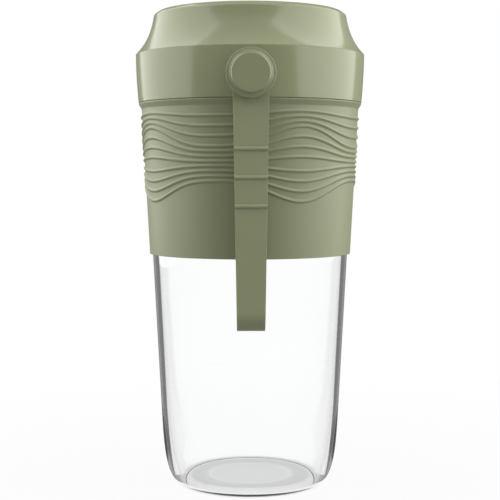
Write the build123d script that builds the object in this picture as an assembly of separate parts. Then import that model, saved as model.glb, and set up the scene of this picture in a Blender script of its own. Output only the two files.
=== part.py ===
from build123d import *
from math import cos, radians, sin, sqrt
import os

# Driving dimensions in millimetres. The origin is the centre of the foot on the
# table, +Z is up and -Y is the front, where the strap hangs.

# Clear cup
cup_height = 112.9
cup_wall = 2.3
cup_floor = 1.6
cup_top_radius = 38.65
cup_taper = 3.1
cup_heel_height = 32.4
cup_heel_pull = 17.4
cup_foot_step = 8.05
cup_foot_width = 1.3
cup_foot_recess = 0.4
cup_foot_pull_out = 6.7
cup_foot_pull_up = 1.6
cup_floor_inset = 0.1
cup_floor_pull = 2.6
cup_floor_pull_up = 2.1
cup_inner_heel_pull = 17.4
neck_step = 3.5
neck_slope = 3.6
neck_wall = 2.3
neck_height = 19.4

# Bayonet
lug_count = 4
lug_span = 34.0
lug_reach = 2.2
lug_height = 2.6
lug_drop = 5.6
lug_stop_span = 3.0
lug_clearance = 0.3
latch_height = 2.8
latch_neck_gap = 0.5

# Cup seal
seal_thickness = 2.5
seal_inset = 0.3
seal_lip = 1.0
seal_side_gap = 0.4

# Lower housing with the grip
skirt_clearance = 0.35
skirt_wall = 0.8
skirt_depth = 21.15
skirt_thin_height = 4.4
sleeve_height = 59.15
sleeve_flare = 3.0
sleeve_wall = 1.8
sleeve_bore_gap = 1.2
sleeve_edge_round = 0.35
lip_height = 2.7
lip_reach = 1.1
lip_edge = 0.9
ledge_thickness = 2.4
spigot_height = 3.0
spigot_wall = 1.8
spigot_span = 40.0
spigot_gap = 0.3
house_boss_radius = 2.8
house_boss_height = 14.0
house_boss_inset = 3.6
house_screw_angles = (35.0, 145.0, 215.0, 325.0)

# Band around the head
band_gap = 0.15
band_height = 18.75
band_wall = 2.2
band_proud = 0.1
band_flare = 1.0
band_tab_thickness = 2.2
band_tab_radius = 3.4

# Top cap
cap_height = 16.9
cap_shoulder_height = 1.8
cap_shoulder_step = 1.75
cap_wall = 2.2
cap_top_wall = 2.4
cap_flare = 5.38
cap_rim_drop = 1.5
cap_edge = 2.1
cap_hollow = 0.95
cap_spigot_depth = 2.0
cap_spigot_wall = 1.8
cap_spigot_gap = 0.2

# Round control on the front: eye of the strap, bezel and button
stud_rise = 8.3
land_radius = 7.2
inner_land_radius = 8.2
inner_land_depth = 1.4
ridge_clearance = 0.7
face_gap = 0.2
shank_radius = 5.5
shank_fit = 0.1
shank_bore = 3.2
shank_end_gap = 1.4
bezel_radius = 9.0
bezel_rim = 1.5
bezel_floor = 1.0
bezel_height = 2.6
bezel_edge = 0.4
nut_radius = 7.2
nut_thickness = 1.2
button_fit = 0.1
button_travel = 1.0
button_stop_gap = 0.1
button_thickness = 1.9
button_edge = 1.0
stem_fit = 0.1
clip_radius = 4.4
clip_thickness = 0.5

# Carry strap
strap_thickness = 2.4
strap_drop = 93.05
strap_bend = 5.2
strap_joint_drop = 12.3
strap_top_width = 13.3
strap_bottom_width = 9.9
strap_eye_radius = 8.6
strap_eye_gap = 0.3
strap_apex_round = 0.6
strap_rib_radius = 0.8
strap_rib_sink = 0.15
strap_rib_drop = 27.1
strap_rib_pitch = 10.35
strap_rib_count = 3

# Deck that carries the drive
deck_thickness = 3.0
deck_fit = 0.3
collar_radius = 10.0
collar_depth = 6.0
bore_gap = 0.6
pot_wall = 1.8
pot_height = 17.5
motor_lift = 3.5
motor_seat_inner = 11.0

# Drive
shaft_radius = 2.5
bearing_radius = 6.5
bearing_height = 4.0
seal_ring_radius = 6.2
seal_ring_height = 3.6
seal_ring_recess = 0.8
motor_radius = 14.0
motor_fit = 0.2
motor_can_length = 36.0
motor_can_wall = 1.0
end_cap_height = 3.0
end_cap_plug = 2.0
end_cap_boss_radius = 4.6
end_cap_boss_height = 2.5
bush_radius = 3.6
bush_height = 4.0
shaft_run_fit = 0.05
magnet_thickness = 1.7
magnet_length = 24.0
magnet_span = 140.0
magnet_lift = 5.0
rotor_gap = 0.5
rotor_length = 22.0
commutator_radius = 4.4
commutator_length = 5.0
commutator_gap = 2.0
brush_length = 4.4
brush_width = 3.0
brush_height = 3.0
brush_gap = 0.05
terminal_width = 3.0
terminal_thickness = 0.6
terminal_height = 2.2
terminal_offset = 8.5

# Blades
hub_gap = 0.5
hub_radius = 5.0
hub_height = 4.5
blade_thickness = 1.2
blade_width = 9.0
blade_tip_width = 3.0
blade_reach = 22.0
blade_flat = 7.0
blade_bend = 25.0
blade_nut_flats = 8.0
blade_nut_height = 4.0
blade_nut_dome = 1.0
shaft_nut_cover = 1.5

# Battery and upper frame
cell_radius = 9.2
cell_length = 50.0
cell_side_gap = 0.3
link_thickness = 0.3
link_width = 8.0
cup_ring_wall = 1.4
cup_ring_height = 6.0
frame_thickness = 2.0
frame_width = 22.0
post_radius = 2.6
post_x = 11.5
post_y = 20.5

# Boards
board_thickness = 1.6
board_width = 26.0
board_height = 31.0
board_below_stud = 16.0
board_slot_depth = 1.0
board_slot_gap = 0.1
rail_width = 3.4
rail_depth = 4.4
switch_size = 6.2
switch_height = 3.6
plunger_radius = 1.7
plunger_fit = 0.1
plunger_length = 2.2
plunger_spare = 0.3
chip_depth = 1.2
# Middle across the board, middle above its lower edge, width and height of each chip
chip_places = ((-5.0, 8.0, 5.0, 6.0), (5.0, 8.0, 4.0, 4.0), (-4.0, 16.0, 7.0, 4.0), (6.0, 17.0, 3.0, 5.0))
lead_radius = 0.8
lead_rise = 4.1

# Charging port at the back
port_rise = 10.15
pocket_width = 12.4
pocket_height = 11.4
pocket_below = 7.3
pocket_floor = 2.0
pocket_depth = 3.1
pocket_margin = 1.6
cover_gap = 0.25
cover_floor_gap = 0.2
cover_pin_radius = 0.6
cover_pin_fit = 0.05
cover_barrel_radius = 1.35
cover_pin_rise = 2.35
cover_nail_radius = 3.0
cover_nail_depth = 0.8
usb_width = 8.94
usb_height = 3.26
usb_length = 7.4
usb_wall = 0.35
usb_tongue = 0.7
usb_gap = 0.25
usb_recess = 0.3
charge_board_thickness = 1.2
charge_board_width = 16.0
charge_board_back = 17.5
charge_post_radius = 2.4
charge_post_x = 5.4
charge_post_inset = 3.2

# Screws
screw_radius = 1.1
screw_head_radius = 2.1
screw_head_height = 1.5
screw_length = 9.0
screw_hole_gap = 0.2
screw_recess = 0.5

# Places that follow from the sizes
rim_z = cup_height
cup_heel_radius = cup_top_radius - cup_taper
cup_foot_radius = cup_heel_radius - cup_foot_step
cup_floor_flat = cup_foot_radius - cup_floor_inset
deck_z = rim_z + seal_thickness
deck_top = deck_z + deck_thickness
sleeve_z = rim_z - skirt_depth
sleeve_top = sleeve_z + sleeve_height
sleeve_bottom_radius = cup_top_radius + skirt_clearance + skirt_wall
sleeve_top_radius = sleeve_bottom_radius + sleeve_flare
lip_z = sleeve_top - lip_height
lip_radius = sleeve_top_radius + lip_reach
spigot_top = sleeve_top + spigot_height
band_z = sleeve_top + band_gap
band_bottom_radius = lip_radius + band_proud
band_top_radius = band_bottom_radius + band_flare
band_top = band_z + band_height
band_bore = band_bottom_radius - band_wall
cap_top = band_top + cap_height
cap_neck_radius = band_top_radius - cap_shoulder_step
cap_neck_z = band_top + cap_shoulder_height
cap_rim_radius = cap_neck_radius - cap_flare
cap_face_radius = cap_rim_radius - cap_edge
stud_height = band_z + stud_rise
port_height = band_z + port_rise
neck_radius = cup_top_radius - neck_step
neck_z = rim_z - neck_height
lug_z = rim_z - lug_drop - lug_height
lug_radius = neck_radius + lug_reach
bore_radius = lug_radius + sleeve_bore_gap
latch_top = lug_z - lug_clearance
latch_inner = neck_radius + latch_neck_gap
seal_outer = neck_radius + seal_lip
ledge_inner = seal_outer + seal_side_gap
house_screw_radius = sleeve_top_radius - sleeve_wall - house_boss_inset
spigot_outer = band_bore - spigot_gap
strap_back = band_top_radius + ridge_clearance
strap_front = strap_back + strap_thickness
strap_mid = strap_back + strap_thickness / 2
land_u = strap_back - face_gap
inner_land_u = band_bore - inner_land_depth
bezel_back = strap_front + face_gap
bezel_inner = bezel_back + bezel_floor
shank_end = inner_land_u - shank_end_gap
nut_u = inner_land_u - nut_thickness
button_back = bezel_inner + button_travel + button_stop_gap
stem_radius = shank_bore - stem_fit
clip_u = shank_end - face_gap / 2 - clip_thickness
stem_end = clip_u - clip_thickness
plunger_u = stem_end - plunger_length
switch_front = stem_end - button_travel - plunger_spare
board_front = switch_front - switch_height
motor_z = deck_top + motor_lift
can_top = motor_z + motor_can_length
end_cap_top = can_top + end_cap_height
bush_z = end_cap_top + end_cap_boss_height - bush_height
pot_radius = motor_radius + motor_fit
pot_outer = pot_radius + pot_wall
bearing_z = deck_top - bearing_height
collar_z = deck_z - collar_depth
seal_ring_z = collar_z + seal_ring_recess
magnet_outer = motor_radius - motor_can_wall
magnet_inner = magnet_outer - magnet_thickness
magnet_z = motor_z + magnet_lift
rotor_z = magnet_z + (magnet_length - rotor_length) / 2
commutator_z = rotor_z + rotor_length + commutator_gap
hub_top = collar_z - hub_gap
hub_z = hub_top - hub_height
nut_top = hub_z - 2 * blade_thickness
nut_z = nut_top - blade_nut_height
shaft_z = nut_z + shaft_nut_cover
cell_x = pot_outer + cell_side_gap + cell_radius
cell_z = deck_top + link_thickness
cell_top = cell_z + cell_length
frame_z = cell_top + link_thickness
frame_top = frame_z + frame_thickness
board_z = stud_height - board_below_stud
board_mid = board_front - board_thickness / 2
rail_x = board_width / 2 - board_slot_depth + rail_width / 2
pocket_z = port_height - pocket_below
pocket_y = band_bottom_radius - pocket_depth
pocket_land = pocket_y - pocket_floor
pin_y = pocket_y + cover_floor_gap + cover_barrel_radius
pin_z = pocket_z + cover_pin_rise
usb_mouth = pocket_y - usb_recess
usb_back = usb_mouth - usb_length
charge_top = port_height - usb_height / 2
charge_z = charge_top - charge_board_thickness
charge_front = pocket_land - usb_gap
charge_y = charge_front - charge_board_back
charge_post_y = charge_y + charge_post_inset
overshoot = 1.0


def disc(radius, bottom, top):
    return Pos(0, 0, bottom) * Cylinder(radius, top - bottom, align=(Align.CENTER, Align.CENTER, Align.MIN))


def ring(outer, inner, bottom, top):
    return disc(outer, bottom, top) - disc(inner, bottom - overshoot, top + overshoot)


def sector(outer, inner, bottom, top, middle, span):
    outline = Polyline((inner, bottom), (outer, bottom), (outer, top), (inner, top), close=True)
    swept = revolve(Plane.XZ * make_face(outline), axis=Axis.Z, revolution_arc=span)
    return Rot(0, 0, middle - span / 2) * swept


def turned(*points):
    return revolve(Plane.XZ * make_face(Polyline(*points, close=True)), axis=Axis.Z)


def block(x0, x1, y0, y1, z0, z1):
    middle = Pos((x0 + x1) / 2, (y0 + y1) / 2, (z0 + z1) / 2)
    return middle * Box(x1 - x0, y1 - y0, z1 - z0)


def on_front(shape):
    # What is turned along Z points out of the front at the round control.
    return Pos(0, 0, stud_height) * Rot(90, 0, 0) * shape


def polar(radius, angle):
    return radius * cos(radians(angle)), radius * sin(radians(angle))


def sleeve_radius(z):
    run = lip_z - sleeve_z
    return sleeve_bottom_radius + (sleeve_top_radius - sleeve_bottom_radius) * (z - sleeve_z) / run


def wall_radius(z):
    rise = sleeve_z - cup_heel_height
    return cup_heel_radius + (cup_top_radius - cup_heel_radius) * (z - cup_heel_height) / rise


def screw(length):
    head = disc(screw_head_radius, 0, screw_head_height)
    slot = Pos(0, 0, screw_head_height) * Box(2 * screw_radius, screw_radius / 2, screw_recess)
    cross = Rot(0, 0, 90) * slot
    return head - slot - cross + disc(screw_radius, -length, 0)


def lead(*points):
    path = FilletPolyline(*points, radius=2 * lead_radius)
    start = Plane(origin=path @ 0, z_dir=path % 0)
    return sweep(start * Circle(lead_radius), path=path)


def cup():
    lean = (cup_top_radius - cup_heel_radius) / (sleeve_z - cup_heel_height)
    heel = (cup_heel_radius, cup_heel_height)
    heel_pull = (cup_heel_radius - lean * cup_heel_pull, cup_heel_height - cup_heel_pull)
    foot_pull = (cup_foot_radius + cup_foot_pull_out, cup_foot_pull_up)
    shoulder_radius = wall_radius(neck_z)
    outer = [
        Bezier((cup_foot_radius, 0), foot_pull, heel_pull, heel),
        Polyline(heel, (shoulder_radius, neck_z), (neck_radius, neck_z + neck_slope), (neck_radius, rim_z)),
    ]
    inner_heel = (cup_heel_radius - cup_wall, cup_heel_height)
    inner_pull = (inner_heel[0] - lean * cup_inner_heel_pull, cup_heel_height - cup_inner_heel_pull)
    floor_edge = (cup_floor_flat, cup_floor)
    floor_pull = (cup_floor_flat + cup_floor_pull, cup_floor + cup_floor_pull_up)
    neck_bore = neck_radius - neck_wall
    inner = [
        Polyline((neck_radius, rim_z), (neck_bore, rim_z), (neck_bore, neck_z + neck_slope - cup_wall / 2),
                 (shoulder_radius - cup_wall, neck_z - cup_wall / 2), inner_heel),
        Bezier(inner_heel, inner_pull, floor_pull, floor_edge),
    ]
    recess = cup_foot_radius - cup_foot_width
    under = Polyline(floor_edge, (0, cup_floor), (0, cup_foot_recess),
                     (recess - cup_foot_recess, cup_foot_recess), (recess, 0), (cup_foot_radius, 0))
    body = revolve(Plane.XZ * make_face(outer + inner + [under]), axis=Axis.Z)
    root = neck_radius - neck_wall / 2
    lug_top = lug_z + lug_height
    for step in range(lug_count):
        middle = 360 / lug_count * step
        stop = middle - lug_span / 2 - lug_stop_span / 2
        body += sector(lug_radius, root, lug_z, lug_top, middle, lug_span)
        body += sector(lug_radius, root, latch_top - latch_height, lug_top, stop, lug_stop_span)
    return body


def cup_seal():
    return ring(seal_outer, neck_radius - neck_wall + seal_inset, rim_z, deck_z)


def grip_sleeve():
    thin_top = sleeve_z + skirt_thin_height
    skirt_bore = cup_top_radius + skirt_clearance
    wall_bottom = sleeve_radius(deck_z) - sleeve_wall
    wall_top = sleeve_top_radius - sleeve_wall
    ledge_z = deck_z - ledge_thickness
    body = turned(
        (skirt_bore, sleeve_z), (sleeve_bottom_radius - sleeve_edge_round, sleeve_z),
        (sleeve_bottom_radius, sleeve_z + sleeve_edge_round), (sleeve_top_radius, lip_z),
        (lip_radius, sleeve_top - lip_edge), (lip_radius, sleeve_top), (wall_top, sleeve_top),
        (wall_bottom, deck_z), (ledge_inner, deck_z), (ledge_inner, ledge_z), (bore_radius, ledge_z),
        (bore_radius, thin_top), (skirt_bore, thin_top))
    for step in range(lug_count):
        middle = 360 / lug_count * (step + 0.5)
        body += sector(bore_radius + sleeve_wall / 2, latch_inner, latch_top - latch_height, latch_top,
                       middle, lug_span)
    for angle in house_screw_angles:
        x, y = polar(house_screw_radius, angle)
        body += sector(spigot_outer, spigot_outer - spigot_wall, lip_z, spigot_top, angle, spigot_span)
        boss = disc(house_boss_radius, spigot_top - house_boss_height, spigot_top)
        web = block(0, house_boss_inset, -house_boss_radius, house_boss_radius,
                    spigot_top - house_boss_height, spigot_top)
        body += Pos(x, y, 0) * Rot(0, 0, angle) * (boss + web)
        body -= Pos(x, y, 0) * disc(screw_radius, spigot_top - house_boss_height, spigot_top + overshoot)
    return body


def band_housing():
    body = turned((band_bore, band_z), (band_bottom_radius, band_z), (band_top_radius, band_top),
                  (band_bore, band_top))
    for angle in house_screw_angles:
        x, y = polar(house_screw_radius, angle)
        tab = disc(band_tab_radius, spigot_top, spigot_top + band_tab_thickness)
        arm = block(0, band_bore - house_screw_radius + band_wall / 2, -band_tab_radius, band_tab_radius,
                    spigot_top, spigot_top + band_tab_thickness)
        body += Pos(x, y, 0) * Rot(0, 0, angle) * (tab + arm)
        body -= Pos(x, y, 0) * disc(screw_radius + screw_hole_gap, band_z, band_top)
    body += on_front(disc(land_radius, band_bore + band_wall / 2, land_u))
    body += on_front(disc(inner_land_radius, inner_land_u, band_bore + band_wall / 2))
    body -= on_front(disc(shank_radius + shank_fit, inner_land_u - overshoot, land_u + overshoot))
    half = pocket_width / 2
    top = pocket_z + pocket_height
    back = block(-half - pocket_margin, half + pocket_margin, pocket_land, band_bore + band_wall / 2,
                 pocket_z - pocket_margin, top + pocket_margin)
    body += back & disc(band_bore + band_wall / 2, band_z, band_top)
    body -= block(-half, half, pocket_y, band_top_radius + overshoot, pocket_z, top)
    body -= usb_outline(usb_gap, pocket_land - overshoot, pocket_y + overshoot)
    return body - port_cover_pin()


def usb_outline(grow, y0, y1):
    shape = SlotOverall(usb_width + 2 * grow, usb_height + 2 * grow)
    return Pos(0, y1, port_height) * extrude(Plane.XZ * shape, y1 - y0)


def top_cap():
    neck = (cap_neck_radius, cap_neck_z)
    rim = (cap_rim_radius, cap_top - cap_rim_drop)
    outer_mid = ((neck[0] + rim[0]) / 2 - cap_hollow, (neck[1] + rim[1]) / 2)
    ceiling = cap_top - cap_top_wall
    outer = [
        Line((band_top_radius, band_top), neck),
        ThreePointArc(neck, outer_mid, rim),
        Polyline(rim, (cap_face_radius, cap_top), (0, cap_top), (0, ceiling),
                 (cap_face_radius - cap_wall, ceiling)),
    ]
    plug_outer = band_bore - cap_spigot_gap
    plug_inner = plug_outer - cap_spigot_wall
    plug_z = band_top - cap_spigot_depth
    inner = [
        ThreePointArc((cap_face_radius - cap_wall, ceiling), (outer_mid[0] - cap_wall, outer_mid[1]),
                      (plug_inner, cap_neck_z)),
        Polyline((plug_inner, cap_neck_z), (plug_inner, plug_z), (plug_outer, plug_z), (plug_outer, band_top),
                 (band_top_radius, band_top)),
    ]
    return revolve(Plane.XZ * make_face(outer + inner), axis=Axis.Z)


def power_button():
    head = disc(bezel_radius - bezel_rim - button_fit, button_back, button_back + button_thickness)
    head = fillet(head.edges().group_by(Axis.Z)[-1], button_edge)
    return on_front(head + disc(stem_radius, stem_end, button_back))


def button_clip():
    return on_front(ring(clip_radius, stem_radius, clip_u, clip_u + clip_thickness))


def strap_bezel():
    front = bezel_back + bezel_height
    inner = bezel_radius - bezel_rim
    body = turned((shank_bore, shank_end), (shank_radius, shank_end), (shank_radius, bezel_back),
                  (bezel_radius, bezel_back), (bezel_radius, front - bezel_edge),
                  (bezel_radius - bezel_edge, front), (inner, front), (inner, bezel_inner),
                  (shank_bore, bezel_inner))
    return on_front(body)


def bezel_nut():
    return on_front(ring(nut_radius, shank_radius, nut_u, inner_land_u))


def carry_strap():
    low = stud_height - strap_drop
    bend_z = low + strap_bend + strap_thickness / 2
    joint_z = stud_height - strap_joint_drop
    slope = strap_bend / (joint_z - bend_z)
    half = strap_thickness / 2
    apex_z = joint_z - (half + strap_apex_round) / slope
    # The side view is a drop: a round bend joined to the neck by two straight strands.
    big = Pos(-strap_mid, bend_z) * Circle(strap_bend + half)
    small = Pos(-strap_mid, joint_z) * Circle(half)
    drop = make_hull(big.edges() + small.edges())
    big_gap = Pos(-strap_mid, bend_z) * Circle(strap_bend - half)
    small_gap = Pos(-strap_mid, apex_z) * Circle(strap_apex_round)
    gap = make_hull(big_gap.edges() + small_gap.edges())
    loop = extrude(Plane.YZ * (drop - gap), strap_top_width, both=True)
    neck = block(-strap_top_width, strap_top_width, -strap_front, -strap_back, joint_z, stud_height)
    top, bottom = strap_top_width / 2, strap_bottom_width / 2
    outline = Polyline((-top, stud_height), (-bottom, low), (bottom, low), (top, stud_height), close=True)
    front = extrude(Plane.XZ * make_face(outline), strap_front + 2 * strap_bend)
    body = (loop + neck) & front
    body += on_front(disc(strap_eye_radius, strap_back, strap_front))
    for step in range(strap_rib_count):
        z = stud_height - strap_rib_drop - strap_rib_pitch * step
        width = 2 * (bottom + (top - bottom) * (z - low) / strap_drop)
        u = strap_mid + (joint_z - z) * slope + half * sqrt(1 + slope * slope) - strap_rib_sink
        body += Pos(0, -u, z) * Rot(0, 90, 0) * Cylinder(strap_rib_radius, width)
    hole = disc(shank_radius + strap_eye_gap, strap_back - overshoot, strap_front + overshoot)
    return body - on_front(hole)


def motor_deck():
    radius = sleeve_radius(deck_z) - sleeve_wall - deck_fit
    body = disc(radius, deck_z, deck_top) + disc(collar_radius, collar_z, deck_z)
    body += ring(pot_outer, pot_radius, deck_top, motor_z + pot_height)
    body += ring(pot_outer, motor_seat_inner, deck_top, motor_z)
    body -= disc(bearing_radius, bearing_z, deck_top + overshoot)
    body -= disc(seal_ring_radius, collar_z - overshoot, seal_ring_z + seal_ring_height)
    body -= disc(shaft_radius + bore_gap, collar_z - overshoot, deck_top + overshoot)
    for x in (-cell_x, cell_x):
        cradle = ring(cell_radius + cell_side_gap + cup_ring_wall, cell_radius + cell_side_gap,
                      deck_top, cell_z + cup_ring_height)
        body += (Pos(x, 0, 0) * cradle) & ring(radius, pot_radius, deck_top, cell_top)
    for x in (-post_x, post_x):
        for y in (-post_y, post_y):
            body += Pos(x, y, 0) * ring(post_radius, screw_radius, deck_top, frame_z)
    for x in (-charge_post_x, charge_post_x):
        body += Pos(x, charge_post_y, 0) * ring(charge_post_radius, screw_radius, deck_top, charge_z)
    for side in (-1, 1):
        middle = side * rail_x
        rail = block(middle - rail_width / 2, middle + rail_width / 2, -board_mid - rail_depth / 2,
                     -board_mid + rail_depth / 2, deck_top, board_z + board_height)
        body += rail
    side = board_width / 2 + board_slot_gap
    slot = board_thickness / 2 + board_slot_gap
    return body - block(-side, side, -board_mid - slot, -board_mid + slot, board_z,
                        board_z + board_height + overshoot)


def shaft_seal():
    body = ring(seal_ring_radius, shaft_radius + shaft_run_fit, seal_ring_z, seal_ring_z + seal_ring_height)
    groove = ring(seal_ring_radius - seal_lip, shaft_radius + seal_lip, seal_ring_z - overshoot,
                  seal_ring_z + seal_ring_height / 2)
    return body - groove


def deck_bearing():
    return ring(bearing_radius, shaft_radius + shaft_run_fit, bearing_z, deck_top)


def drive_shaft():
    return disc(shaft_radius, shaft_z, end_cap_top + end_cap_boss_height)


def motor_can():
    body = disc(motor_radius, motor_z, can_top)
    body -= disc(motor_radius - motor_can_wall, motor_z + motor_can_wall, can_top + overshoot)
    return body - disc(shaft_radius + bore_gap, motor_z - overshoot, can_top)


def motor_magnets():
    return [sector(magnet_outer, magnet_inner, magnet_z, magnet_z + magnet_length, angle, magnet_span)
            for angle in (0, 180)]


def rotor():
    body = ring(magnet_inner - rotor_gap, shaft_radius, rotor_z, rotor_z + rotor_length)
    body += ring(shaft_radius + bore_gap, shaft_radius, rotor_z, commutator_z)
    return body + ring(commutator_radius, shaft_radius, commutator_z, commutator_z + commutator_length)


def motor_end_cap():
    body = disc(motor_radius, can_top, end_cap_top) + disc(magnet_outer, can_top - end_cap_plug, can_top)
    body += disc(end_cap_boss_radius, end_cap_top, end_cap_top + end_cap_boss_height)
    body -= disc(bush_radius, bush_z, end_cap_top + end_cap_boss_height + overshoot)
    body -= disc(commutator_radius + bore_gap, can_top - end_cap_plug - overshoot, bush_z)
    return body - motor_terminals()


def motor_bush():
    return ring(bush_radius, shaft_radius + shaft_run_fit, bush_z, bush_z + bush_height)


def motor_brushes():
    inner = commutator_radius + brush_gap
    top = can_top - end_cap_plug
    brushes = []
    for side in (-1, 1):
        x0, x1 = sorted((side * inner, side * (inner + brush_length)))
        brush = block(x0, x1, -brush_width / 2, brush_width / 2, top - brush_height, top)
        brushes.append(brush - disc(inner, motor_z, can_top))
    return brushes


def motor_terminals():
    thick, wide = terminal_thickness / 2, terminal_width / 2
    return [block(x - thick, x + thick, -wide, wide, can_top - end_cap_plug, end_cap_top + terminal_height)
            for x in (-terminal_offset, terminal_offset)]


def blade_hub():
    return ring(hub_radius, shaft_radius, hub_z, hub_top)


def blade(rise):
    climb = (blade_reach - blade_flat) * sin(radians(blade_bend)) / cos(radians(blade_bend))
    half = blade_thickness / 2
    side = Polyline((-blade_reach, climb - half), (-blade_flat, -half), (blade_flat, -half),
                    (blade_reach, climb - half), (blade_reach, climb + half), (blade_flat, half),
                    (-blade_flat, half), (-blade_reach, climb + half), close=True)
    strip = extrude(Plane.XZ * make_face(side), blade_width, both=True)
    wide, tip = blade_width / 2, blade_tip_width / 2
    plan = Polyline((-blade_flat, wide), (blade_flat, wide), (blade_reach, tip), (blade_reach, -tip),
                    (blade_flat, -wide), (-blade_flat, -wide), (-blade_reach, -tip), (-blade_reach, tip),
                    close=True)
    body = strip & extrude(make_face(plan), blade_reach, both=True)
    body -= disc(shaft_radius, -blade_thickness, blade_thickness)
    return body if rise else Rot(180, 0, 90) * body


def blade_nut():
    corner = blade_nut_flats / 2 / cos(radians(30))
    body = Pos(0, 0, nut_z) * extrude(RegularPolygon(corner, 6), blade_nut_height)
    dome = turned((0, nut_z), (blade_nut_flats / 2 - blade_nut_dome, nut_z),
                  (corner, nut_z + blade_nut_dome), (corner, nut_top), (0, nut_top))
    return (body & dome) - disc(shaft_radius, shaft_z, nut_top + overshoot)


def battery_cell(side):
    return Pos(side * cell_x, 0, 0) * disc(cell_radius, cell_z, cell_top)


def battery_links():
    half = link_width / 2
    bar = block(-cell_x - half, cell_x + half, -half, half, cell_top, frame_z)
    feet = [block(x - half, x + half, -half, half, deck_top, cell_z) for x in (-cell_x, cell_x)]
    return [bar] + feet


def upper_frame():
    reach = cell_x + cell_radius
    half = link_width / 2 + cell_side_gap
    body = block(-reach, reach, -frame_width / 2, frame_width / 2, frame_z, frame_top)
    for x in (-post_x, post_x):
        for y in (-post_y, post_y):
            foot = Pos(x, y, 0) * disc(post_radius, frame_z, frame_top)
            arm = block(x - post_radius, x + post_radius, min(y, 0), max(y, 0), frame_z, frame_top)
            hole = disc(screw_radius + screw_hole_gap, frame_z - overshoot, frame_top + overshoot)
            body += foot + arm
            body -= Pos(x, y, 0) * hole
    for x in (-cell_x, cell_x):
        cradle = ring(cell_radius + cell_side_gap + cup_ring_wall, cell_radius + cell_side_gap,
                      cell_top - cup_ring_height, frame_z)
        body += Pos(x, 0, 0) * cradle
        body += Pos(x, 0, 0) * disc(cell_radius + cell_side_gap + cup_ring_wall, frame_z, frame_top)
    return body - block(-cell_x, cell_x, -half, half, cell_top - cup_ring_height - overshoot, frame_z)


def frame_screws():
    places = [(x, y) for x in (-post_x, post_x) for y in (-post_y, post_y)]
    return [Pos(x, y, frame_top) * screw(screw_length) for x, y in places]


def housing_screws():
    places = [polar(house_screw_radius, angle) for angle in house_screw_angles]
    return [Pos(x, y, spigot_top + band_tab_thickness) * screw(screw_length) for x, y in places]


def charge_screws():
    places = [(-charge_post_x, charge_post_y), (charge_post_x, charge_post_y)]
    return [Pos(x, y, charge_top) * screw(screw_length) for x, y in places]


def control_board():
    half = board_width / 2
    return block(-half, half, -board_front, -board_front + board_thickness, board_z, board_z + board_height)


def board_chips():
    back = -board_front + board_thickness
    chips = []
    for x, rise, wide, tall in chip_places:
        z = board_z + rise
        chips.append(block(x - wide / 2, x + wide / 2, back, back + chip_depth, z - tall / 2, z + tall / 2))
    return chips


def tact_switch():
    half = switch_size / 2
    body = block(-half, half, -switch_front, -board_front, stud_height - half, stud_height + half)
    return body - on_front(disc(plunger_radius + plunger_fit, plunger_u - button_travel - plunger_spare,
                                switch_front + overshoot))


def switch_plunger():
    return on_front(disc(plunger_radius, plunger_u, stem_end))


def charge_board():
    half = charge_board_width / 2
    body = block(-half, half, charge_y, charge_front, charge_z, charge_top)
    for x in (-charge_post_x, charge_post_x):
        body -= Pos(x, charge_post_y, 0) * disc(screw_radius + screw_hole_gap, charge_z - overshoot,
                                                charge_top + overshoot)
    return body


def usb_socket():
    shell = usb_outline(0, usb_back, usb_mouth)
    shell -= usb_outline(-usb_wall, usb_back + overshoot, usb_mouth + overshoot)
    wide, thick = usb_width / 2 - usb_height / 2, usb_tongue / 2
    tongue = block(-wide, wide, usb_back, usb_mouth - overshoot, port_height - thick, port_height + thick)
    return shell + tongue


def port_cover():
    half = pocket_width / 2 - cover_gap
    top = pocket_z + pocket_height - cover_gap
    inner = pocket_y + cover_floor_gap
    skin = turned((0, band_z), (band_bottom_radius, band_z), (band_top_radius, band_top), (0, band_top))
    plate = block(-half, half, inner, band_top_radius + overshoot, pin_z, top) & skin
    barrel = Pos(0, pin_y, pin_z) * Rot(0, 90, 0) * Cylinder(cover_barrel_radius, 2 * half)
    nail = Pos(0, band_top_radius + cover_nail_radius - cover_nail_depth, top) * Sphere(cover_nail_radius)
    bore = Pos(0, pin_y, pin_z) * Rot(0, 90, 0) * Cylinder(cover_pin_radius + cover_pin_fit, pocket_width)
    return plate + barrel - nail - bore


def port_cover_pin():
    length = pocket_width + 2 * pocket_margin
    return Pos(0, pin_y, pin_z) * Rot(0, 90, 0) * Cylinder(cover_pin_radius, length)


def motor_leads():
    back = -board_front + board_thickness
    leads = []
    for side in (-1, 1):
        x = side * (terminal_offset - terminal_thickness / 2 - lead_radius)
        low, high = end_cap_top + lead_radius, end_cap_top + lead_radius + lead_rise
        leads.append(lead((x, terminal_width / 2, low), (x, -motor_radius, low), (x, -motor_radius, high),
                          (x, back, high)))
    return leads


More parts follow.
